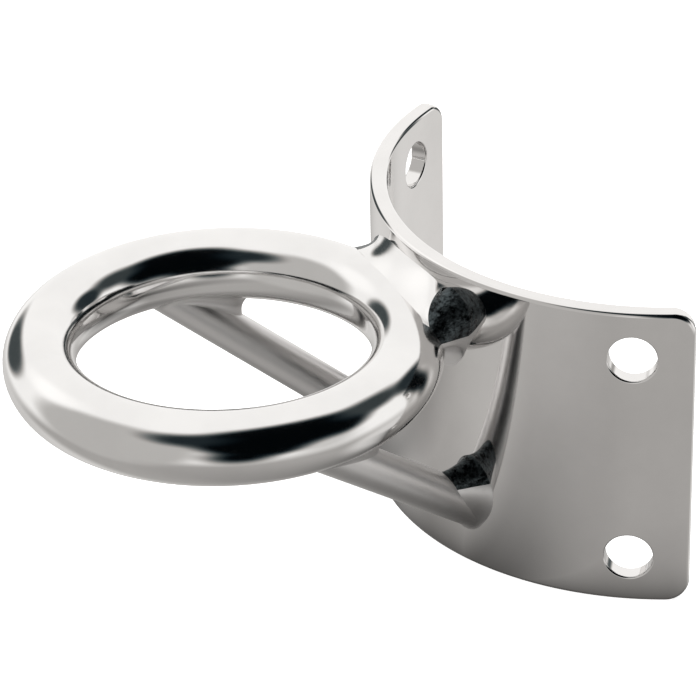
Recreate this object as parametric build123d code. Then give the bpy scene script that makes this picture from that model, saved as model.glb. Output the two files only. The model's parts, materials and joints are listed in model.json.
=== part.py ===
from build123d import *
import math
import os

os.makedirs("parts", exist_ok=True)

# Frame: Z runs up the mast, the origin is the middle of the hollow face that lies on
# the mast. The eye points to -Y. Right is +X. Millimetres.
# Shapes are drawn about the axis of the mast and moved to that origin at the end.

# mounting plate
seat_radius = 46.0
plate_thickness = 3.0
plate_height = 54.5
plate_half_angle = 66.2
plate_corner_radius = 4.0
plate_edge_round = 0.8

# fastener holes, on radial lines through the plate
hole_diameter = 8.0
hole_angle = 54.2
hole_height = 18.7

# eye ring
bar_diameter = 12.0
eye_inside_diameter = 48.0
eye_offset = 33.0
eye_height = 15.2
seam_width = 2.2

# braces
strut_diameter = 7.0
strut_ring_x = 30.0
strut_ring_back = 0.7
strut_ring_drop = 2.2
strut_foot_x = 16.3
strut_foot_height = -15.95
foot_bead_radius = 5.8
foot_bead_length = 5.0
foot_bead_lift = 1.9
ring_bead_radius = 5.1
ring_bead_length = 6.0
ring_bead_shift = 3.0

# weld round the neck of the eye
neck_bead_radius = 3.2
neck_split = 3.0

# how far a cutting shape runs past what it cuts, and a bead into the part behind it
clearance = 4.0
bead_run_on = 3.0

# blocks that part the neck weld, and the accuracy of measured lengths
block_size = 200.0
length_tolerance = 0.05

# derived sizes
plate_radius = seat_radius + plate_thickness
bar_radius = bar_diameter / 2
strut_radius = strut_diameter / 2
eye_radius = eye_inside_diameter / 2 + bar_radius
eye_y = -plate_radius - eye_offset
eye_centre = (0, eye_y, eye_height)


def up_cylinder(radius, height):
    """Upright cylinder about the mast axis, centred on the height of the plate."""
    return Cylinder(radius, height, align=(Align.CENTER, Align.CENTER, Align.CENTER))


def wedge(half_angle, reach, height):
    """Upright wedge that opens to -Y from the mast axis."""
    corners = [(0, 0)]
    half_steps = 4
    for step in range(-half_steps, half_steps + 1):
        turn = math.radians(half_angle * step / half_steps)
        corners.append((reach * math.sin(turn), -reach * math.cos(turn)))
    base = make_face(Polyline(*corners, close=True).edges())
    return Pos(0, 0, -height / 2) * extrude(base, height)


def single(shape):
    """The one solid inside a cut or joined shape."""
    return max(shape.solids(), key=lambda piece: piece.volume)


# --- mounting plate -----------------------------------------------------------------

def spans_thickness(edge):
    """Whether an edge of the plate runs straight from its front to its back."""
    return abs(edge.length - plate_thickness) < length_tolerance


bored_height = plate_height + clearance
plate = up_cylinder(plate_radius, plate_height) - up_cylinder(seat_radius, bored_height)
plate = plate & wedge(plate_half_angle, 2 * plate_radius, bored_height)
plate = fillet([edge for edge in plate.edges() if spans_thickness(edge)], plate_corner_radius)
plate = fillet([edge for edge in plate.edges() if not spans_thickness(edge)], plate_edge_round)

for side in (-1, 1):
    for height in (-hole_height, hole_height):
        turn = math.radians(side * hole_angle)
        outward = Vector(math.sin(turn), -math.cos(turn), 0)
        start = outward * (seat_radius - clearance) + Vector(0, 0, height)
        drill = Plane(origin=start, z_dir=outward)
        plate = plate - drill * Cylinder(hole_diameter / 2, plate_thickness + 2 * clearance,
                                         align=(Align.CENTER, Align.CENTER, Align.MIN))
mast_plate = single(plate)

# --- eye ring, shaped at the back to sit on the plate ----------------------------------

seat_block = up_cylinder(plate_radius, plate_height)
full_ring = Pos(*eye_centre) * Torus(eye_radius, bar_radius)
seated_ring = full_ring - seat_block

# the bent bar is closed by a butt weld, which lies against the plate
seam_slice = Pos(0, eye_y + eye_radius, eye_height) * Box(
    seam_width, bar_diameter + clearance, bar_diameter + clearance)
ring_closing_weld = single(seated_ring & seam_slice)
eye_ring = single(seated_ring - seam_slice)

# --- braces ------------------------------------------------------------------------


def strut_ends(side):
    """Axis points of a brace: under the ring and on the face of the plate."""
    foot_y = -math.sqrt(plate_radius ** 2 - strut_foot_x ** 2)
    ring_end = Vector(side * strut_ring_x, eye_y + strut_ring_back,
                      eye_height - strut_ring_drop)
    foot_end = Vector(side * strut_foot_x, foot_y, strut_foot_height)
    return ring_end, foot_end


def distance_to_bar(point):
    """Distance from a point to the centre line of the ring bar."""
    across = math.hypot(point.X, point.Y - eye_y) - eye_radius
    return math.hypot(across, point.Z - eye_height)


def exit_distance(start, along):
    """Distance along a line at which it leaves the surface of the ring bar."""
    travel = 0.0
    while distance_to_bar(start + along * travel) < bar_radius:
        travel += length_tolerance
    return travel


def make_strut(side):
    """Round brace shaped to the ring at the top and to the plate at the foot."""
    ring_end, foot_end = strut_ends(side)
    along = (foot_end - ring_end).normalized()
    length = (foot_end - ring_end).length + 2 * clearance
    bar = Plane(origin=ring_end, z_dir=along) * Cylinder(
        strut_radius, length, align=(Align.CENTER, Align.CENTER, Align.MIN))
    return single(bar - full_ring - seat_block)


def flared_bead(tip, toe, tip_radius, toe_radius):
    """Cone of weld metal from a tip on the brace to a toe on the part behind it."""
    along = (toe - tip).normalized()
    return Plane(origin=tip, z_dir=along) * Cone(
        tip_radius, toe_radius, (toe - tip).length,
        align=(Align.CENTER, Align.CENTER, Align.MIN))


def make_foot_weld(side, strut):
    """Bead round the foot of a brace, deepest in the corner above it."""
    ring_end, foot_end = strut_ends(side)
    along = (foot_end - ring_end).normalized()
    tip = foot_end - along * foot_bead_length
    bead_centre = foot_end + Vector(0, 0, foot_bead_lift)
    bead_along = (bead_centre - tip).normalized()
    toe = bead_centre + bead_along * bead_run_on
    growth = (foot_bead_radius - strut_radius) / (bead_centre - tip).length
    bead = flared_bead(tip, toe, strut_radius, foot_bead_radius + bead_run_on * growth)
    return single(bead - seat_block - strut)


def make_ring_weld(side, strut):
    """Bead where a brace meets the ring, deepest in the corner that faces the plate."""
    ring_end, foot_end = strut_ends(side)
    along = (foot_end - ring_end).normalized()
    surface = ring_end + along * exit_distance(ring_end, along)
    tip = surface + along * ring_bead_length
    toe = ring_end + Vector(0, ring_bead_shift, 0)
    bead = flared_bead(tip, toe, strut_radius, ring_bead_radius)
    return single(bead - full_ring - strut)


right_strut = make_strut(1)
left_strut = make_strut(-1)
right_strut_foot_weld = make_foot_weld(1, right_strut)
left_strut_foot_weld = make_foot_weld(-1, left_strut)
right_strut_ring_weld = make_ring_weld(1, right_strut)
left_strut_ring_weld = make_ring_weld(-1, left_strut)

# --- weld round the neck of the eye ----------------------------------------------------

# a hollow fillet all round the joint, cut into the runs that lay it down
joined = full_ring + seat_block
joint_edges = []
for edge in joined.edges():
    box = edge.bounding_box()
    crosses_middle = box.min.X < -seam_width and box.max.X > seam_width
    near_bar = abs(box.min.Z - eye_height) < bar_diameter
    if crosses_middle and near_bar and box.max.Y < -seat_radius:
        joint_edges.append(edge)
neck = fillet(joint_edges, neck_bead_radius) - full_ring - seat_block

half_block = block_size / 2
block = Box(block_size, block_size, block_size)
side_block = Box(block_size, block_size, 2 * neck_split)
neck_top_weld = single(neck & Pos(0, 0, eye_height + neck_split + half_block) * block)
neck_bottom_weld = single(neck & Pos(0, 0, eye_height - neck_split - half_block) * block)
neck_right_weld = single(neck & Pos(half_block, 0, eye_height) * side_block)
neck_left_weld = single(neck & Pos(-half_block, 0, eye_height) * side_block)

# --- files -------------------------------------------------------------------------

nodes = {
    "mast_plate": mast_plate,
    "eye_ring": eye_ring,
    "ring_closing_weld": ring_closing_weld,
    "right_strut": right_strut,
    "left_strut": left_strut,
    "neck_top_weld": neck_top_weld,
    "neck_bottom_weld": neck_bottom_weld,
    "neck_right_weld": neck_right_weld,
    "neck_left_weld": neck_left_weld,
    "right_strut_foot_weld": right_strut_foot_weld,
    "left_strut_foot_weld": left_strut_foot_weld,
    "right_strut_ring_weld": right_strut_ring_weld,
    "left_strut_ring_weld": left_strut_ring_weld,
}
for name, solid in nodes.items():
    placed = Pos(0, seat_radius, 0) * solid
    placed.label = name
    export_step(placed, f"parts/{name}.step")
    box = placed.bounding_box()
    print(name, round(placed.volume, 1), box.min, box.max)
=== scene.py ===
import json
import math

import bpy
import numpy as np
from mathutils import Matrix, Vector, geometry


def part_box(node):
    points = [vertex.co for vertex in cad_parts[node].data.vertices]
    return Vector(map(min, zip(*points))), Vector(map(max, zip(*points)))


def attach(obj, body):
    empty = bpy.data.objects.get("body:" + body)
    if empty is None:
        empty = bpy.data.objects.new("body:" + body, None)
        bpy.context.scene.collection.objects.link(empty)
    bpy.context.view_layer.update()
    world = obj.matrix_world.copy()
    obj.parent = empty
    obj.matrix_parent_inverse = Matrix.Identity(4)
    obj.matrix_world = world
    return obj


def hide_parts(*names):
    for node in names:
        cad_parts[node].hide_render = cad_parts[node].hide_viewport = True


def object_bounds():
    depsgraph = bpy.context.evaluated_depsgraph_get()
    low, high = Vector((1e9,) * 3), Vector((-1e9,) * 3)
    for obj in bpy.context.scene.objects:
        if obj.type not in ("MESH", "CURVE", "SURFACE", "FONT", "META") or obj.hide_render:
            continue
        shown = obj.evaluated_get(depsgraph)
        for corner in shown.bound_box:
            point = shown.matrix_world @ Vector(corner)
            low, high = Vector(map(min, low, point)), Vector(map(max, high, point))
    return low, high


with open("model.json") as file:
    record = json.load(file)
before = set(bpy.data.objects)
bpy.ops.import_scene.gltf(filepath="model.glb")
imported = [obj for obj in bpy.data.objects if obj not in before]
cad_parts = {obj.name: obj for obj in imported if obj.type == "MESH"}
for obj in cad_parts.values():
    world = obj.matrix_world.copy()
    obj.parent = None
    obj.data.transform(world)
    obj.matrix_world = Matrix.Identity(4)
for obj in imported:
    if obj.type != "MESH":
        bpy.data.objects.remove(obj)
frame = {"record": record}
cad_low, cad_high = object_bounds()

MM = 0.001
SCENE = bpy.context.scene

# --- sizes taken from the frame ---------------------------------------------------------
# Z runs up the mast, the origin lies on the hollow face of the plate, the eye points to -Y.

bores = [mount for mount in frame["record"]["mounts"] if mount["kind"] == "bore"]
plate_low, plate_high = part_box("mast_plate")
ring_low, ring_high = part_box("eye_ring")

# the lines of the holes meet on the axis of the mast
bore_x, bore_y, _ = bores[0]["pos_m"]
axis_x, axis_y, _ = bores[0]["axis"]
MAST_Y = bore_y - bore_x * axis_y / axis_x
SEAT_RADIUS = MAST_Y
PLATE_RADIUS = MAST_Y - plate_low.y
HALF_HEIGHT = plate_high.z

BAR_RADIUS = (ring_high.z - ring_low.z) / 2
EYE_RADIUS = (ring_high.x - ring_low.x) / 2 - BAR_RADIUS
EYE_CENTRE = np.array([0, ring_low.y + EYE_RADIUS + BAR_RADIUS, ring_low.z + BAR_RADIUS])

# --- sizes of the finish ------------------------------------------------------------------

PLATE_HALF_ANGLE = math.radians(66.2)
PLATE_CORNER = 4.0 * MM
PLATE_EDGE = 0.8 * MM
HOLE_EDGE = 0.35 * MM
STRUT_RADIUS = 3.5 * MM
STRUT_BACK = 0.7 * MM
STRUT_DROP = 2.2 * MM
FOOT_X = 16.3 * MM
FOOT_Z = -15.95 * MM
SEAM_HALF = 1.1 * MM

# how far a welded piece runs on under the surface that it is welded to
SINK = 0.3 * MM

# how finely the meshes are drawn
EDGE_STEPS = 7
HOLE_STEPS = 72
FACE_SPACING = 1.8 * MM
BAR_STEPS = 80
RING_ROWS = 400
SEAM_ROWS = 7
STRUT_STEPS = 64
STRUT_ROWS = 60
WELD_STEPS = 180
WELD_COLUMNS = 15
NECK_STEPS = 20
HALVINGS = 40


# --- helpers ------------------------------------------------------------------------------

def unit(vectors):
    """Vectors scaled to length one."""
    return vectors / np.linalg.norm(vectors, axis=-1, keepdims=True)


def from_mast(points):
    """Horizontal vectors from the axis of the mast to points."""
    return points * [1, 1, 0] - [0, MAST_Y, 0]


def nearest_on_ring_line(points):
    """Nearest points on the centre line of the ring bar."""
    flat = (points - EYE_CENTRE) * [1, 1, 0]
    return EYE_CENTRE + unit(flat) * EYE_RADIUS


def ring_distance(points):
    """Distances from points to the centre line of the ring bar."""
    return np.linalg.norm(points - nearest_on_ring_line(points), axis=-1)


def seat_on_plate(points):
    """Moves points that lie deep in the plate out to just under its front face."""
    radial = from_mast(points)
    distance = np.linalg.norm(radial, axis=-1, keepdims=True)
    limit = PLATE_RADIUS - SINK
    return points + radial / distance * np.maximum(limit - distance, 0)


def bisect(function, low, high):
    """Values between low and high at which a rising function passes zero."""
    for _ in range(HALVINGS):
        middle = (low + high) / 2
        above = function(middle) > 0
        high = np.where(above, middle, high)
        low = np.where(above, low, middle)
    return (low + high) / 2


def smooth_step(value, start, end):
    """0 up to start, 1 from end on, and a smooth rise between them."""
    t = np.clip((value - start) / (end - start), 0, 1)
    return t * t * (3 - 2 * t)


def grid_faces(rows, columns, closed_rows):
    """Four-sided faces of a grid that is closed round its columns."""
    faces = []
    for i in range(rows if closed_rows else rows - 1):
        for j in range(columns):
            below = (i + 1) % rows
            beside = (j + 1) % columns
            faces.append((i * columns + j, i * columns + beside,
                          below * columns + beside, below * columns + j))
    return faces


def end_caps(rows, columns):
    """Faces that close both ends of a grid."""
    first = tuple(range(columns))
    last = tuple((rows - 1) * columns + j for j in range(columns))
    return [first[::-1], last]


def signed_volume(points, faces):
    """Six times the volume inside the faces, below zero where they look inward."""
    total = 0.0
    for face in faces:
        corner = points[face[0]]
        for j in range(1, len(face) - 1):
            total += np.dot(corner, np.cross(points[face[j]], points[face[j + 1]]))
    return total


def add_piece(name, points, faces, normals, material):
    """A closed mesh with its exact surface normals, in place of the CAD node of its name."""
    if signed_volume(points, faces) < 0:
        faces = [face[::-1] for face in faces]
    mesh = bpy.data.meshes.new(name + "_finished")
    mesh.from_pydata(points.tolist(), [], faces)
    mesh.polygons.foreach_set("use_smooth", [True] * len(mesh.polygons))
    mesh.update()
    mesh.normals_split_custom_set_from_vertices(normals.tolist())
    mesh.materials.append(material)
    piece = bpy.data.objects.new(name + "_finished", mesh)
    SCENE.collection.objects.link(piece)
    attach(piece, "root")
    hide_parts(name)
    return piece


def add_tube(name, grid, normals, material, slot):
    """A piece from a grid of points, closed round its columns and capped at both ends."""
    rows, columns = grid.shape[:2]
    faces = grid_faces(rows, columns, False) + end_caps(rows, columns)
    return add_piece(name, grid.reshape(-1, 3), faces, normals.reshape(-1, 3), material)


# --- materials ----------------------------------------------------------------------------

def node(tree, kind, inputs=None, **settings):
    """A shader node with its settings and plain input values."""
    made = tree.nodes.new(kind)
    for key, value in settings.items():
        setattr(made, key, value)
    for key, value in (inputs or {}).items():
        made.inputs[key].default_value = value
    return made


# noise stays mostly between these values
NOISE_LOW = 0.35
NOISE_HIGH = 0.65


def noise(tree, vector, scale, detail, roughness):
    """A noise texture over a vector."""
    made = node(tree, "ShaderNodeTexNoise", {"Scale": scale, "Detail": detail, "Roughness": roughness})
    tree.links.new(vector, made.inputs["Vector"])
    return made


def steel(name, colour, grain, polish, mottle, mottle_scale, rough, stain=0.035, stain_scale=70.0):
    """Polished stainless steel: wheel marks, slight unevenness, faint stains and soft spots.

    grain is the scale of the wheel marks along X, Y and Z, polish the depth of the marks,
    mottle the depth of the uneven patches and mottle_scale how fine they are. rough is the
    least and the most roughness. stain is how much darker the dull areas are and stain_scale
    how fine they are.
    """
    material = bpy.data.materials.new(name)
    material.use_nodes = True
    tree = material.node_tree
    link = tree.links.new
    shader = tree.nodes["Principled BSDF"]
    shader.inputs["Metallic"].default_value = 1.0

    place = node(tree, "ShaderNodeTexCoord")
    stretch = node(tree, "ShaderNodeMapping", {"Scale": grain})
    link(place.outputs["Object"], stretch.inputs["Vector"])
    marks = noise(tree, stretch.outputs["Vector"], scale=1.0, detail=6.0, roughness=0.62)
    patches = noise(tree, place.outputs["Object"], scale=mottle_scale, detail=3.0, roughness=0.5)
    stains = noise(tree, place.outputs["Object"], scale=stain_scale, detail=4.0, roughness=0.6)

    # colour: the steel with faint warm and dull areas
    tone = node(tree, "ShaderNodeValToRGB")
    tone.color_ramp.elements[0].position = NOISE_LOW
    tone.color_ramp.elements[0].color = [c * (1 - stain) for c in colour] + [1]
    tone.color_ramp.elements[1].position = NOISE_HIGH
    tone.color_ramp.elements[1].color = [min(c * (1 + stain / 2), 1) for c in colour] + [1]
    link(stains.outputs["Fac"], tone.inputs["Fac"])
    link(tone.outputs["Color"], shader.inputs["Base Color"])

    # gloss: the mean of the wheel marks and the stains
    blend = node(tree, "ShaderNodeMath", {1: 0.5}, operation="MULTIPLY_ADD")
    link(marks.outputs["Fac"], blend.inputs[0])
    half = node(tree, "ShaderNodeMath", {1: 0.5}, operation="MULTIPLY")
    link(stains.outputs["Fac"], half.inputs[0])
    link(half.outputs[0], blend.inputs[2])
    gloss = node(tree, "ShaderNodeMapRange", {"From Min": NOISE_LOW, "From Max": NOISE_HIGH,
                                              "To Min": rough[0], "To Max": rough[1]})
    link(blend.outputs[0], gloss.inputs["Value"])
    link(gloss.outputs["Result"], shader.inputs["Roughness"])

    # relief: marks first, then the patches
    fine = node(tree, "ShaderNodeBump", {"Strength": 1.0, "Distance": polish})
    link(marks.outputs["Fac"], fine.inputs["Height"])
    broad = node(tree, "ShaderNodeBump", {"Strength": 1.0, "Distance": mottle})
    link(patches.outputs["Fac"], broad.inputs["Height"])
    link(fine.outputs["Normal"], broad.inputs["Normal"])
    link(broad.outputs["Normal"], shader.inputs["Normal"])
    return material


PLATE_COLOUR = (0.80, 0.788, 0.78)
BAR_COLOUR = (0.81, 0.802, 0.795)
BRACE_COLOUR = (0.78, 0.77, 0.765)
# dark weld scale on the neck's side runs, and a painted dark reflection on the upper side of the right
# foot weld
SCALE_AND_DARK_REFLECTION_COLOUR = (0.075, 0.09, 0.096)

plate_steel = steel("plate_steel", PLATE_COLOUR, grain=(60, 60, 1500), polish=1.0e-6,
                    mottle=4e-6, mottle_scale=110, rough=(0.03, 0.07))
bar_steel = steel("bar_steel", BAR_COLOUR, grain=(700, 700, 700), polish=1.0e-6,
                  mottle=4e-6, mottle_scale=160, rough=(0.07, 0.12))
brace_steel = steel("brace_steel", BRACE_COLOUR, grain=(900, 900, 900), polish=2.5e-6,
                    mottle=4e-6, mottle_scale=240, rough=(0.34, 0.44))
smooth_weld = steel("smooth_weld", BAR_COLOUR, grain=(900, 900, 900), polish=1.5e-6,
                    mottle=6e-6, mottle_scale=240, rough=(0.08, 0.16))
rough_weld = steel("rough_weld", SCALE_AND_DARK_REFLECTION_COLOUR, grain=(900, 900, 900), polish=20e-6,
                   mottle=250e-6, mottle_scale=1500, rough=(0.25, 0.45),
                   stain=0.95, stain_scale=900.0)


# --- mounting plate -----------------------------------------------------------------------

def rounded_outline():
    """Outline of the flattened plate: points and outward directions, measured on its front."""
    half_width = PLATE_HALF_ANGLE * PLATE_RADIUS
    points, outward = [], []
    corner_steps, long_steps, short_steps = 12, 150, 24
    turns = [0, 90, 180, 270]
    corners = [(1, 1), (-1, 1), (-1, -1), (1, -1)]
    for turn, (right, up) in zip(turns, corners):
        centre = np.array([right * (half_width - PLATE_CORNER), up * (HALF_HEIGHT - PLATE_CORNER)])
        for i in range(corner_steps + 1):
            angle = math.radians(turn + 90 * i / corner_steps)
            direction = np.array([math.cos(angle), math.sin(angle)])
            points.append(centre + direction * PLATE_CORNER)
            outward.append(direction)
        # the straight run on to the next corner
        steps = long_steps if turn in (0, 180) else short_steps
        along = np.array([-outward[-1][1], outward[-1][0]])
        length = 2 * ((half_width if turn in (0, 180) else HALF_HEIGHT) - PLATE_CORNER)
        start = points[-1]
        for i in range(1, steps):
            points.append(start + along * length * i / steps)
            outward.append(outward[-1])
    return np.array(points), np.array(outward)


def bend(across, up, radius):
    """Points of the flattened plate, bent to a radius about the mast."""
    angle = across / PLATE_RADIUS
    return np.stack([radius * np.sin(angle), MAST_Y - radius * np.cos(angle), up], -1)


def radial_at(across):
    """Directions straight out of the front of the bent plate."""
    angle = across / PLATE_RADIUS
    return np.stack([np.sin(angle), -np.cos(angle), 0 * angle], -1)


def tangent_at(across):
    """Level directions along the front of the bent plate."""
    angle = across / PLATE_RADIUS
    return np.stack([np.cos(angle), np.sin(angle), 0 * angle], -1)


def edge_profile(edge):
    """Inset, depth and turn of the normal from the front face round to the back face."""
    turns = np.radians(np.linspace(0, 90, EDGE_STEPS))
    thickness = PLATE_RADIUS - SEAT_RADIUS
    front = [(edge * (1 - math.sin(t)), edge * (1 - math.cos(t)), t) for t in turns]
    back = [(inset, thickness - depth, math.pi - t) for inset, depth, t in reversed(front)]
    return front + back


def outline_loops():
    """Loops of points and normals round the rim of the plate, from front to back."""
    outline, outward = rounded_outline()
    loops = []
    for inset, depth, turn in edge_profile(PLATE_EDGE):
        flat = outline - outward * inset
        points = bend(flat[:, 0], flat[:, 1], PLATE_RADIUS - depth)
        sideways = tangent_at(flat[:, 0]) * outward[:, :1] + np.array([0, 0, 1]) * outward[:, 1:]
        normals = radial_at(flat[:, 0]) * math.cos(turn) + sideways * math.sin(turn)
        loops.append((flat, points, normals))
    return loops


def hole_loops(bore):
    """Loops of points and normals down one fastener hole, from front to back."""
    radius = bore["dims"]["r_mm"] * MM
    middle = math.atan2(bore["axis"][0], -bore["axis"][1])
    turns = np.radians(np.linspace(0, 360, HOLE_STEPS, endpoint=False))
    across_line = np.array([math.cos(middle), math.sin(middle), 0])
    loops = []
    for inset, depth, turn in edge_profile(HOLE_EDGE):
        reach = radius + inset
        level = PLATE_RADIUS - depth
        angle = middle + np.arcsin(reach * np.cos(turns) / level)
        flat = np.stack([angle * PLATE_RADIUS, bore["pos_m"][2] + reach * np.sin(turns)], -1)
        points = bend(flat[:, 0], flat[:, 1], level)
        upward = np.array([0, 0, 1]) * np.sin(turns)[:, None]
        inward = -(across_line * np.cos(turns)[:, None] + upward)
        normals = radial_at(flat[:, 0]) * math.cos(turn) + inward * math.sin(turn)
        loops.append((flat, points, normals))
    return loops


# shares of the spacing that grid points keep from the rim's straight sides and from any loop
SIDE_GAP = 0.6
LOOP_GAP = 0.45

# share of a hole's radius within which the middle of a triangle means that it fills the hole
HOLE_SHARE = 0.96


def inner_points(outer, holes, spacing):
    """Points of a grid that fills the flattened plate, clear of its outline and holes."""
    high = outer.max(0) - spacing * SIDE_GAP
    across = np.linspace(-high[0], high[0], int(2 * high[0] / spacing))
    up = np.linspace(-high[1], high[1], int(2 * high[1] / spacing))
    grid = np.stack(np.meshgrid(across, up), -1).reshape(-1, 2)
    keep = np.ones(len(grid), bool)
    for loop in [outer] + holes:
        gaps = np.linalg.norm(grid[:, None] - loop[None], axis=-1).min(1)
        keep &= gaps > spacing * LOOP_GAP
    for loop in holes:
        reach = np.linalg.norm(loop - loop.mean(0), axis=-1).max()
        keep &= np.linalg.norm(grid - loop.mean(0), axis=-1) > reach
    corner = outer.max(0) - PLATE_CORNER
    beyond = np.maximum(np.abs(grid) - corner, 0)
    keep &= np.linalg.norm(beyond, axis=-1) < PLATE_CORNER
    return grid[keep]


def fill_face(outer, holes, spacing):
    """Triangles of one broad face, as indices into outline, holes and inner points."""
    inner = inner_points(outer, holes, spacing)
    flat = np.concatenate([outer] + holes + [inner])
    edges = []
    start = 0
    for loop in [outer] + holes:
        edges += [(start + i, start + (i + 1) % len(loop)) for i in range(len(loop))]
        start += len(loop)
    inside_only = 1
    tolerance = 1e-7
    found = geometry.delaunay_2d_cdt([Vector(p / MM) for p in flat], edges, [], inside_only, tolerance)
    origin = [sources[0] for sources in found[3]]
    triangles = []
    for face in found[2]:
        corners = [origin[i] for i in face]
        middle = flat[corners].mean(0)
        inside_hole = False
        for loop in holes:
            reach = np.linalg.norm(loop[0] - loop.mean(0))
            inside_hole |= np.linalg.norm(middle - loop.mean(0)) < reach * HOLE_SHARE
        if not inside_hole:
            triangles.append(corners)
    return inner, triangles


def make_plate():
    """The bent plate: two broad faces, a rounded rim and four holes with broken edges."""
    loop_sets = [outline_loops()] + [hole_loops(bore) for bore in bores]
    points, normals, faces = [], [], []
    starts = []
    count = 0
    for loops in loop_sets:
        size = len(loops[0][1])
        starts.append((count, size, len(loops)))
        for _, loop_points, loop_normals in loops:
            points.append(loop_points)
            normals.append(loop_normals)
        faces += [tuple(count + i for i in face) for face in grid_faces(len(loops), size, False)]
        count += size * len(loops)
    for front in (True, False):
        level = 0 if front else -1
        outer = loop_sets[0][level][0]
        holes = [loops[level][0] for loops in loop_sets[1:]]
        inner, triangles = fill_face(outer, holes, FACE_SPACING)
        index = []
        for start, size, rows in starts:
            first = start if front else start + size * (rows - 1)
            index += list(range(first, first + size))
        index += list(range(count, count + len(inner)))
        count += len(inner)
        radius = PLATE_RADIUS if front else SEAT_RADIUS
        points.append(bend(inner[:, 0], inner[:, 1], radius))
        normals.append(radial_at(inner[:, 0]) * (1 if front else -1))
        faces += [tuple(index[i] for i in triangle) for triangle in triangles]
    return np.concatenate(points), faces, np.concatenate(normals)


def consistent(points, faces, normals):
    """Faces turned so that each one looks the way its normals point."""
    turned = []
    for face in faces:
        a, b, c = (points[i] for i in face[:3])
        facing = np.dot(np.cross(b - a, c - a), normals[list(face)].mean(0))
        turned.append(face if facing > 0 else face[::-1])
    return turned


plate_points, plate_faces, plate_normals = make_plate()
plate_faces = consistent(plate_points, plate_faces, plate_normals)
add_piece("mast_plate", plate_points, plate_faces, plate_normals, plate_steel)


# --- eye ring -----------------------------------------------------------------------------

def ring_grid(from_x, to_x, steps, whole_turn):
    """Points and normals of the ring bar between two flat cuts, behind the eye."""
    tilt = np.radians(np.linspace(0, 360, BAR_STEPS, endpoint=False))
    reach = EYE_RADIUS + BAR_RADIUS * np.cos(tilt)
    begin = np.arcsin(from_x / reach)
    end = np.arcsin(to_x / reach) + (2 * math.pi if whole_turn else 0)
    share = np.linspace(0, 1, steps)[:, None]
    turn = begin * (1 - share) + end * share
    outward = np.stack([np.sin(turn), np.cos(turn), 0 * turn], -1)
    upward = np.array([0, 0, 1])
    normals = outward * np.cos(tilt)[None, :, None] + upward * np.sin(tilt)[None, :, None]
    points = EYE_CENTRE + outward * EYE_RADIUS + normals * BAR_RADIUS
    return seat_on_plate(points), normals


bent_bar = ring_grid(SEAM_HALF, -SEAM_HALF, RING_ROWS, True)
closing_weld = ring_grid(-SEAM_HALF, SEAM_HALF, SEAM_ROWS, False)
add_tube("eye_ring", *bent_bar, bar_steel, "polished_bar")
add_tube("ring_closing_weld", *closing_weld, bar_steel, "weld_metal")


# --- braces ---------------------------------------------------------------------------------

def strut_axis(side):
    """Start of a brace inside the ring bar, and its direction to the front of the plate."""
    start = EYE_CENTRE + np.array([side * EYE_RADIUS, STRUT_BACK, -STRUT_DROP])
    foot = np.array([side * FOOT_X, MAST_Y - math.sqrt(PLATE_RADIUS ** 2 - FOOT_X ** 2), FOOT_Z])
    return start, unit(foot - start)


def around(axis, count):
    """Directions all round an axis, beginning at the upper side."""
    side = unit(np.cross(axis, [0, 0, 1]))
    upper = np.cross(side, axis)
    turns = np.radians(np.linspace(0, 360, count, endpoint=False))
    return np.cos(turns)[:, None] * upper + np.sin(turns)[:, None] * side


def travel_to_plate(starts, axis, radius):
    """Distance along the axis at which each line comes down to a radius about the mast."""
    flat = from_mast(starts)
    run = axis * [1, 1, 0]
    a = run @ run
    b = flat @ run
    c = (flat * flat).sum(-1) - radius ** 2
    return (-b - np.sqrt(b * b - a * c)) / a


# farther along a brace than the skin of the ring bar, and than its weld
PAST_BAR = 15 * MM
PAST_WELD = 25 * MM


def make_strut(name, side):
    """A round brace, cut to the ring at the top and to the plate at the foot."""
    start, axis = strut_axis(side)
    directions = around(axis, STRUT_STEPS)
    lines = start + directions * STRUT_RADIUS
    begin = bisect(lambda t: ring_distance(lines + axis * t[:, None]) - (BAR_RADIUS - SINK),
                   np.zeros(STRUT_STEPS), np.full(STRUT_STEPS, PAST_BAR))
    end = travel_to_plate(lines, axis, PLATE_RADIUS - SINK)
    share = np.linspace(0, 1, STRUT_ROWS)[:, None]
    travel = begin * (1 - share) + end * share
    grid = lines[None] + axis * travel[..., None]
    normals = np.broadcast_to(directions, grid.shape)
    add_tube(name, grid, normals, brace_steel, "polished_bar")


for label, side in (("right", 1), ("left", -1)):
    make_strut(label + "_strut", side)


# --- welds ----------------------------------------------------------------------------------

def weld_grid(toe_one, toe_two, corner, root, hollow, closed):
    """Points and normals of a weld that closes the corner between two parts.

    toe_one and toe_two are the lines where the weld meets the two parts, corner is where the
    faces at the toes meet when they run on, and root is the back of the weld between the parts.
    hollow 0 is a flat weld, 1 runs out smoothly at both toes.
    """
    share = np.linspace(0, 1, WELD_COLUMNS)[None, :, None]
    middle = (toe_one + toe_two) / 2
    control = (middle + (corner - middle) * hollow[:, None])[:, None]
    first, last = toe_one[:, None], toe_two[:, None]
    surface = first * (1 - share) ** 2 + control * 2 * share * (1 - share) + last * share ** 2

    # normals from the surface itself, looking away from the corner
    if closed:
        along = np.roll(surface, -1, 0) - np.roll(surface, 1, 0)
    else:
        along = np.gradient(surface, axis=0)
    over = np.gradient(surface, axis=1)
    normals = unit(np.cross(along, over))
    inward = ((root - middle)[:, None] * normals).sum(-1, keepdims=True) > 0
    normals = np.where(inward, -normals, normals)

    # the hidden back of the weld lies a little inside both parts
    depth = unit(root - middle)
    back = np.stack([toe_two + depth * SINK, root + depth * SINK, toe_one + depth * SINK], 1)
    back_normals = np.repeat(depth[:, None], 3, axis=1)
    return np.concatenate([surface, back], 1), np.concatenate([normals, back_normals], 1)


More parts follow.
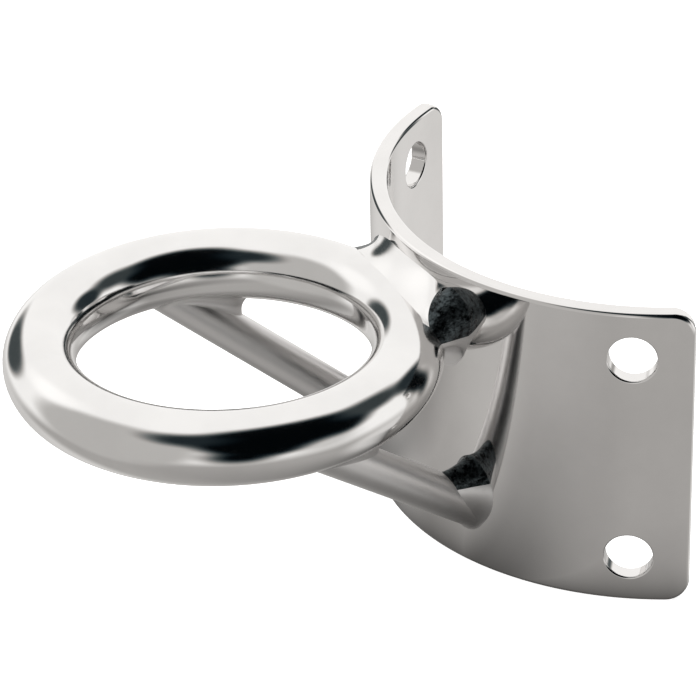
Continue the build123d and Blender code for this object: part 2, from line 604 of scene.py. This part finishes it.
def ball_weld_grid(centres, on_first, on_second, hollow, further=0):
    """A weld between the lines where a ball that rolls along the corner touches the parts.

    further moves the toe on the first part along it.
    """
    to_first = unit(on_first - centres)
    to_second = unit(on_second - centres)
    radius = np.linalg.norm(on_first - centres, axis=-1)[:, None]
    half = np.arccos(np.clip((to_first * to_second).sum(-1), -1, 1))[:, None] / 2
    corner = centres + unit(to_first + to_second) * radius / np.cos(half)
    return weld_grid(on_first + further, on_second, corner, corner, hollow, True)


def add_closed_weld(name, grid, normals, material):
    """A weld that runs all the way round its joint."""
    rows, columns = grid.shape[:2]
    faces = grid_faces(rows, columns, True)
    return add_piece(name, grid.reshape(-1, 3), faces, normals.reshape(-1, 3), material)


# the weld round the foot of a brace: size of the corner that it fills, and how hollow it is
FOOT_WELD_SIZE = 0.9 * MM
FOOT_WELD_MORE_ABOVE = 1.8 * MM
FOOT_WELD_HOLLOW = 0.7
FOOT_WELD_FLATTER_ABOVE = 0.6
FOOT_WELD_LEAN = 0.6
FOOT_WELD_FULL_FROM = 0.7

# the weld under the ring: the same, but fullest towards the plate
RING_WELD_SIZE = 1.5 * MM
RING_WELD_MORE_BEHIND = 0.45 * MM
RING_WELD_HOLLOW = 0.8
RING_WELD_FLATTER_BEHIND = 0.6
RING_WELD_RISE = (-0.1, 0.9)


def foot_weld(name, side, creep, painted_dark_reflection_above):
    """Weld round the foot of a brace, nearly flat in the corner above it.

    creep is how far the weld has run up the brace on its upper side. Above the share of the way up
    from level given last, the weld gets the dark rough material as a painted dark reflection.
    """
    start, axis = strut_axis(side)
    directions = around(axis, WELD_STEPS)
    fullest = unit(np.array([FOOT_WELD_LEAN * side, 0, 1]))
    above = smooth_step(directions @ fullest, 0, FOOT_WELD_FULL_FROM)
    radius = FOOT_WELD_SIZE + FOOT_WELD_MORE_ABOVE * above
    lines = start + directions * (STRUT_RADIUS + radius)[:, None]
    travel = travel_to_plate(lines, axis, PLATE_RADIUS + radius)
    centres = lines + axis * travel[:, None]
    on_strut = centres - directions * radius[:, None]
    on_plate = centres - unit(from_mast(centres)) * radius[:, None]
    further = -axis * creep * above[:, None]
    hollow = FOOT_WELD_HOLLOW - FOOT_WELD_FLATTER_ABOVE * above
    grid, normals = ball_weld_grid(centres, on_strut, on_plate, hollow, further)
    piece = add_closed_weld(name, grid, normals, brace_steel)
    piece.data.materials.append(rough_weld)
    for face in piece.data.polygons:
        # painted dark reflection: faces above that share get the dark rough material
        face.material_index = int(directions[face.index // grid.shape[1], 2] > painted_dark_reflection_above)


def ring_weld(name, side):
    """Weld where a brace meets the ring, a full web in the corner that faces the plate."""
    start, axis = strut_axis(side)
    directions = around(axis, WELD_STEPS)
    behind = smooth_step(directions[:, 1] / directions[:, 1].max(), *RING_WELD_RISE)
    radius = RING_WELD_SIZE + RING_WELD_MORE_BEHIND * behind
    lines = start + directions * (STRUT_RADIUS + radius)[:, None]
    travel = bisect(lambda t: ring_distance(lines + axis * t[:, None]) - (BAR_RADIUS + radius),
                    np.zeros(WELD_STEPS), np.full(WELD_STEPS, PAST_WELD))
    centres = lines + axis * travel[:, None]
    on_strut = centres - directions * radius[:, None]
    on_ring = centres + unit(nearest_on_ring_line(centres) - centres) * radius[:, None]
    hollow = RING_WELD_HOLLOW - RING_WELD_FLATTER_BEHIND * behind
    grid, normals = ball_weld_grid(centres, on_strut, on_ring, hollow)
    add_closed_weld(name, grid, normals, brace_steel)


# only the right foot weld carries the painted dark reflection on its upper side
foot_weld("right_strut_foot_weld", 1, creep=3 * MM, painted_dark_reflection_above=0.4)
foot_weld("left_strut_foot_weld", -1, creep=0.5 * MM, painted_dark_reflection_above=1)
ring_weld("right_strut_ring_weld", 1)
ring_weld("left_strut_ring_weld", -1)


# Stations along the four runs of the weld round the neck, each run up to the next one's start.
# A station gives the toe on the ring, as degrees round the eye and degrees up from level, the
# toe on the plate, as mm right of the middle and mm above the ring line, and the hollow.
NECK_RUNS = {
    "neck_top_weld": [
        (-20, 70, -10.9, 7.5, 0.7),
        (-11, 88, -5.8, 9.2, 0.25),
        (0, 94, 0, 9.6, 0.2),
        (12, 93, 5.8, 9.5, 0.15),
        (23, 78, 9.2, 9.0, 0.0),
        (30, 55, 11.1, 8.0, -0.5),
    ],
    "neck_right_weld": [
        (30, 55, 11.1, 8.0, -0.5),
        (31, 47, 13.6, 8.9, -0.4),
        (31.5, 39, 16.2, 7.2, -0.2),
        (32, 32, 17.3, 4.2, -0.1),
        (32, 24, 17.0, 1.4, 0.0),
    ],
    "neck_bottom_weld": [
        (32, 24, 17.0, 1.4, 0.1),
        (31, 12, 16.4, -1.5, 0.4),
        (26, -5, 15.0, -4.1, 0.6),
        (18, -35, 12.0, -6.2, 0.7),
        (0, -92, 0, -8.6, 0.7),
        (-15, -60, -9.5, -6.8, 0.8),
        (-24, -25, -14.5, -4.0, 0.9),
    ],
    "neck_left_weld": [
        (-24, -25, -14.5, -4.0, 0.9),
        (-29, 5, -17.4, 0.6, 0.95),
        (-26, 38, -15.0, 4.4, 0.85),
        (-20, 70, -10.9, 7.5, 0.7),
    ],
}

# how far out the ring and the plate meet behind the weld, as a share of its toe on the plate
ROOT_SHARE = 0.5


def smooth_run(values, steps):
    """A Catmull-Rom curve through rows of values, with steps rows from each to the next."""
    before = np.concatenate([[2 * values[0] - values[1]], values[:-2]])
    after = np.concatenate([values[2:], [2 * values[-1] - values[-2]]])
    t = (np.arange(steps) / steps)[None, :, None]
    a, b, c, d = (part[:, None] for part in (before, values[:-1], values[1:], after))
    curve = b + (c - a) * t / 2 + (a - 2.5 * b + 2 * c - d / 2) * t ** 2
    curve = curve + (1.5 * (b - c) + (d - a) / 2) * t ** 3
    return np.concatenate([curve.reshape(-1, values.shape[1]), values[-1:]])


def neck_run(name, stations, material):
    """One run of the weld round the neck of the eye."""
    turn, tilt, across, up, hollow = smooth_run(np.array(stations, float), NECK_STEPS).T
    turn, tilt, across, up = np.radians(turn), np.radians(tilt), across * MM, up * MM

    reach = EYE_RADIUS + BAR_RADIUS * np.cos(tilt)
    on_ring = np.stack([np.sin(turn) * reach, np.cos(turn) * reach, BAR_RADIUS * np.sin(tilt)], -1)
    on_ring = on_ring + EYE_CENTRE
    face_y = MAST_Y - np.sqrt(PLATE_RADIUS ** 2 - across ** 2)
    on_plate = np.stack([across, face_y, EYE_CENTRE[2] + up], -1)
    radial = from_mast(on_ring)
    spare = np.linalg.norm(radial, axis=-1, keepdims=True) - PLATE_RADIUS
    corner = on_ring - unit(radial) * spare
    root_across, root_up = ROOT_SHARE * np.stack([across, up])
    root_y = MAST_Y - np.sqrt(PLATE_RADIUS ** 2 - root_across ** 2)
    root = np.stack([root_across, root_y, EYE_CENTRE[2] + root_up], -1)
    grid, normals = weld_grid(on_ring, on_plate, corner, root, hollow, False)
    add_tube(name, grid, normals, material, "weld_metal")


# the side runs lie too deep in the corner for a polishing wheel
NECK_STEEL = {
    "neck_top_weld": smooth_weld,
    "neck_right_weld": rough_weld,
    "neck_bottom_weld": brace_steel,
    "neck_left_weld": rough_weld,
}

for name, stations in NECK_RUNS.items():
    neck_run(name, stations, NECK_STEEL[name])


# --- studio ---------------------------------------------------------------------------------

# the room is brighter by as much as one reflection in the steel takes away
STEEL_REFLECTANCE = 0.79
DISPLAY_GAMMA = 2.2
FULL_LEVEL = 255


def card_group():
    """Node group: how much a soft round card covers the direction that is looked in."""
    group = bpy.data.node_groups.new("soft_card", "ShaderNodeTree")
    face = group.interface
    for label in ("Direction", "Centre", "Right", "Up"):
        face.new_socket(label, in_out="INPUT", socket_type="NodeSocketVector")
    for label in ("Inner", "Outer", "Level", "Under"):
        face.new_socket(label, in_out="INPUT", socket_type="NodeSocketFloat")
    face.new_socket("Level", in_out="OUTPUT", socket_type="NodeSocketFloat")
    link = group.links.new
    source = node(group, "NodeGroupInput")
    result = node(group, "NodeGroupOutput")
    parts = {}
    for label in ("Centre", "Right", "Up"):
        parts[label] = node(group, "ShaderNodeVectorMath", operation="DOT_PRODUCT")
        link(source.outputs["Direction"], parts[label].inputs[0])
        link(source.outputs[label], parts[label].inputs[1])
    sideways = node(group, "ShaderNodeCombineXYZ")
    link(parts["Right"].outputs["Value"], sideways.inputs["X"])
    link(parts["Up"].outputs["Value"], sideways.inputs["Y"])
    length = node(group, "ShaderNodeVectorMath", operation="LENGTH")
    link(sideways.outputs["Vector"], length.inputs[0])
    angle = node(group, "ShaderNodeMath", operation="ARCTAN2")
    link(length.outputs["Value"], angle.inputs[0])
    link(parts["Centre"].outputs["Value"], angle.inputs[1])
    cover = node(group, "ShaderNodeMapRange", {"To Min": 1.0, "To Max": 0.0},
                 interpolation_type="SMOOTHSTEP")
    link(angle.outputs[0], cover.inputs["Value"])
    link(source.outputs["Inner"], cover.inputs["From Min"])
    link(source.outputs["Outer"], cover.inputs["From Max"])
    mix = node(group, "ShaderNodeMix")
    link(cover.outputs["Result"], mix.inputs["Factor"])
    link(source.outputs["Under"], mix.inputs["A"])
    link(source.outputs["Level"], mix.inputs["B"])
    link(mix.outputs["Result"], result.inputs["Level"])
    return group


def card(azimuth, elevation, size, softness, level, height=1.0):
    """A soft round card or flag: where it stands, its angular radius and its brightness.

    Azimuth 0 is straight out from the plate, 90 is to the right. height stretches it upward.
    """
    a, e = math.radians(azimuth), math.radians(elevation)
    centre = Vector((math.sin(a) * math.cos(e), -math.cos(a) * math.cos(e), math.sin(e)))
    right = Vector((math.cos(a), math.sin(a), 0))
    up = centre.cross(right) / height
    return {"Centre": centre, "Right": right, "Up": up,
            "Inner": math.radians(size - softness), "Outer": math.radians(size + softness),
            "Level": level / FULL_LEVEL}


# the white room, and what stands in it, from back to front; brightness as it shows in the steel
ROOM_LEVEL = 238
CARDS = [
    # the table: grey in front of the plate, lighter behind it and to the left
    card(0, -90, 70, 12, 158),
    card(180, -40, 35, 8, 203, 0.5),
    card(-80, -40, 22, 10, 200),
    # grey wall in front
    card(5, 10, 45, 8, 174, 1.2),
    # the open side of the white tent, with its left and right edges and the paler sill below
    card(98, 38, 42, 8, 12),
    card(40, 50, 16, 10, 40),
    card(158, 38, 16, 8, 60),
    card(115, -5, 14, 12, 195),
    # the camera on its stand
    card(72, 0, 16, 12, 12),
    # a dark flag on the left, with a bright window over it
    card(-78, 6, 15, 5, 70),
    card(-57, 36, 14, 8, 252),
    # dark gaps between the cloths behind
    card(180, 20, 14, 5, 45),
    card(-170, -6, 14, 5, 65),
]


def make_world():
    """Soft studio round the object, seen only in its polish; the backdrop itself is plain."""
    world = bpy.data.worlds.new("studio")
    SCENE.world = world
    world.use_nodes = True
    tree = world.node_tree
    tree.nodes.clear()
    link = tree.links.new
    place = node(tree, "ShaderNodeTexCoord")
    group = card_group()
    level = None
    for values in CARDS:
        piece = node(tree, "ShaderNodeGroup", node_tree=group)
        for key, value in values.items():
            piece.inputs[key].default_value = value
        link(place.outputs["Generated"], piece.inputs["Direction"])
        if level is None:
            piece.inputs["Under"].default_value = ROOM_LEVEL / FULL_LEVEL
        else:
            link(level, piece.inputs["Under"])
        level = piece.outputs["Level"]
    linear = node(tree, "ShaderNodeMath", {1: DISPLAY_GAMMA}, operation="POWER")
    link(level, linear.inputs[0])
    tint = node(tree, "ShaderNodeValToRGB")
    ramp = tint.color_ramp
    ramp.elements[0].position = 0.06
    ramp.elements[0].color = (0.55, 1.08, 1.45, 1)
    ramp.elements[1].position = 0.92
    ramp.elements[1].color = (1.01, 1.0, 0.985, 1)
    dusk = ramp.elements.new(0.24)
    dusk.color = (0.84, 1.02, 1.06, 1)
    middle = ramp.elements.new(0.57)
    middle.color = (1.03, 1.0, 0.965, 1)
    link(level, tint.inputs["Fac"])
    colour = node(tree, "ShaderNodeVectorMath", operation="SCALE")
    link(tint.outputs["Color"], colour.inputs[0])
    link(linear.outputs[0], colour.inputs["Scale"])
    room = node(tree, "ShaderNodeBackground", {"Strength": 1 / STEEL_REFLECTANCE})
    link(colour.outputs["Vector"], room.inputs["Color"])
    backdrop = node(tree, "ShaderNodeBackground", {"Color": (1, 1, 1, 1), "Strength": 1.0})
    rays = node(tree, "ShaderNodeLightPath")
    choose = node(tree, "ShaderNodeMixShader")
    link(rays.outputs["Is Camera Ray"], choose.inputs["Fac"])
    link(room.outputs[0], choose.inputs[1])
    link(backdrop.outputs[0], choose.inputs[2])
    output = node(tree, "ShaderNodeOutputWorld")
    link(choose.outputs[0], output.inputs["Surface"])


make_world()


def level_square(name, reach, height):
    """A square that lies level, centred under the origin."""
    mesh = bpy.data.meshes.new(name)
    corners = [(x * reach, y * reach, height) for x, y in ((-1, -1), (1, -1), (1, 1), (-1, 1))]
    mesh.from_pydata(corners, [], [(0, 1, 2, 3)])
    square = bpy.data.objects.new(name, mesh)
    SCENE.collection.objects.link(square)
    return square


def make_floor():
    """Plain pale floor under the plate. The steel mirrors the studio instead of it."""
    floor = level_square("floor", reach=6.0, height=cad_low.z)
    material = bpy.data.materials.new("pale_floor")
    material.use_nodes = True
    shader = material.node_tree.nodes["Principled BSDF"]
    shader.inputs["Base Color"].default_value = (0.9, 0.9, 0.9, 1)
    shader.inputs["Roughness"].default_value = 0.9
    shader.inputs["Emission Color"].default_value = (1, 1, 1, 1)
    shader.inputs["Emission Strength"].default_value = 0.85
    floor.data.materials.append(material)
    floor.visible_glossy = False


def make_table_shade():
    """Soft shade on the table in front of the plate, which shows only in the polish."""
    lift = 0.2 * MM
    shade = level_square("table_shade", reach=150 * MM, height=cad_low.z + lift)
    material = bpy.data.materials.new("table_shade")
    material.use_nodes = True
    tree = material.node_tree
    tree.nodes.clear()
    link = tree.links.new

    def step(operation, first, second=None):
        """The result of one sum on numbers or sockets."""
        made = node(tree, "ShaderNodeMath", operation=operation)
        for socket, value in zip(made.inputs, (first, second)):
            if isinstance(value, (int, float)):
                socket.default_value = value
            elif value is not None:
                link(value, socket)
        return made.outputs[0]

    def falloff(distance, length, strength):
        """Shade of a strength that dies away over a length."""
        return step("MULTIPLY", step("EXPONENT", step("DIVIDE", distance, -length)), strength)

    def band(angle, start, end):
        """0 at one number of degrees, 1 at another, and a smooth change between them."""
        made = node(tree, "ShaderNodeMapRange",
                    {"From Min": math.radians(start), "From Max": math.radians(end)},
                    interpolation_type="SMOOTHSTEP")
        link(angle, made.inputs["Value"])
        return made.outputs["Result"]

    # distance from the middle of the plate's thickness, and angle away from its middle
    place = node(tree, "ShaderNodeTexCoord")
    axes = node(tree, "ShaderNodeSeparateXYZ")
    link(place.outputs["Object"], axes.inputs["Vector"])
    forward = step("SUBTRACT", MAST_Y, axes.outputs["Y"])
    squares = step("ADD", step("POWER", axes.outputs["X"], 2.0), step("POWER", forward, 2.0))
    middle_radius = (PLATE_RADIUS + SEAT_RADIUS) / 2
    gap = step("ABSOLUTE", step("SUBTRACT", step("SQRT", squares), middle_radius))
    aside = step("ABSOLUTE", step("ARCTAN2", axes.outputs["X"], forward))
    clear_of_middle = band(aside, 5, 22)
    clear_of_wing = band(aside, 58, 26)
    before_plate = band(aside, 78, 62)
    under_ring = step("MULTIPLY", clear_of_middle, clear_of_wing)
    contact = step("MULTIPLY", falloff(gap, 8 * MM, 0.8), before_plate)
    edge = step("MULTIPLY", falloff(gap, 12 * MM, 0.12), before_plate)
    broad = step("MULTIPLY", falloff(gap, 50 * MM, 0.73), under_ring)
    total = step("ADD", step("MAXIMUM", contact, broad), edge)
    clear = node(tree, "ShaderNodeBsdfTransparent")
    dark = node(tree, "ShaderNodeEmission", {"Color": (0, 0, 0, 1)})
    mix = node(tree, "ShaderNodeMixShader")
    link(total, mix.inputs["Fac"])
    link(clear.outputs[0], mix.inputs[1])
    link(dark.outputs[0], mix.inputs[2])
    output = node(tree, "ShaderNodeOutputMaterial")
    link(mix.outputs[0], output.inputs["Surface"])
    shade.data.materials.append(material)
    shade.visible_camera = False
    shade.visible_diffuse = False
    shade.visible_shadow = False


def make_light():
    """One large soft lamp overhead, for the floor."""
    data = bpy.data.lights.new("overhead", "AREA")
    data.shape = "DISK"
    data.size = 1.6
    data.energy = 9.0
    lamp = bpy.data.objects.new("overhead", data)
    lamp.location = (-0.3, -0.2, 1.2)
    lamp.rotation_euler = Vector(lamp.location).to_track_quat("Z", "Y").to_euler()
    lamp.visible_glossy = False
    SCENE.collection.objects.link(lamp)


make_floor()
make_table_shade()
make_light()


# --- camera -----------------------------------------------------------------------------------

def make_camera():
    """Long lens, from the right and above, turned a little about its own line of sight."""
    azimuth = math.radians(63.518)
    elevation = math.radians(30.027)
    roll = math.radians(-1.274)
    distance = 624.8 * MM
    aside, down = 4.648 * MM, 12.084 * MM
    back = Vector((math.sin(azimuth) * math.cos(elevation),
                   -math.cos(azimuth) * math.cos(elevation), math.sin(elevation)))
    level_right = Vector((math.cos(azimuth), math.sin(azimuth), 0))
    level_up = back.cross(level_right)
    right = level_right * math.cos(roll) + level_up * math.sin(roll)
    up = level_up * math.cos(roll) - level_right * math.sin(roll)
    aim = Vector((0, -18, 24.397)) * MM + right * aside - up * down
    data = bpy.data.cameras.new("camera")
    data.lens = 196.82
    data.sensor_width = 36.0
    data.clip_start = 0.01
    data.clip_end = 50.0
    camera = bpy.data.objects.new("camera", data)
    SCENE.collection.objects.link(camera)
    turn = Matrix((right, up, back)).transposed()
    camera.matrix_world = Matrix.Translation(aim + back * distance) @ turn.to_4x4()
    SCENE.camera = camera


make_camera()
SCENE.view_settings.view_transform = "Standard"
SCENE.view_settings.look = "None"

bpy.context.view_layer.update()
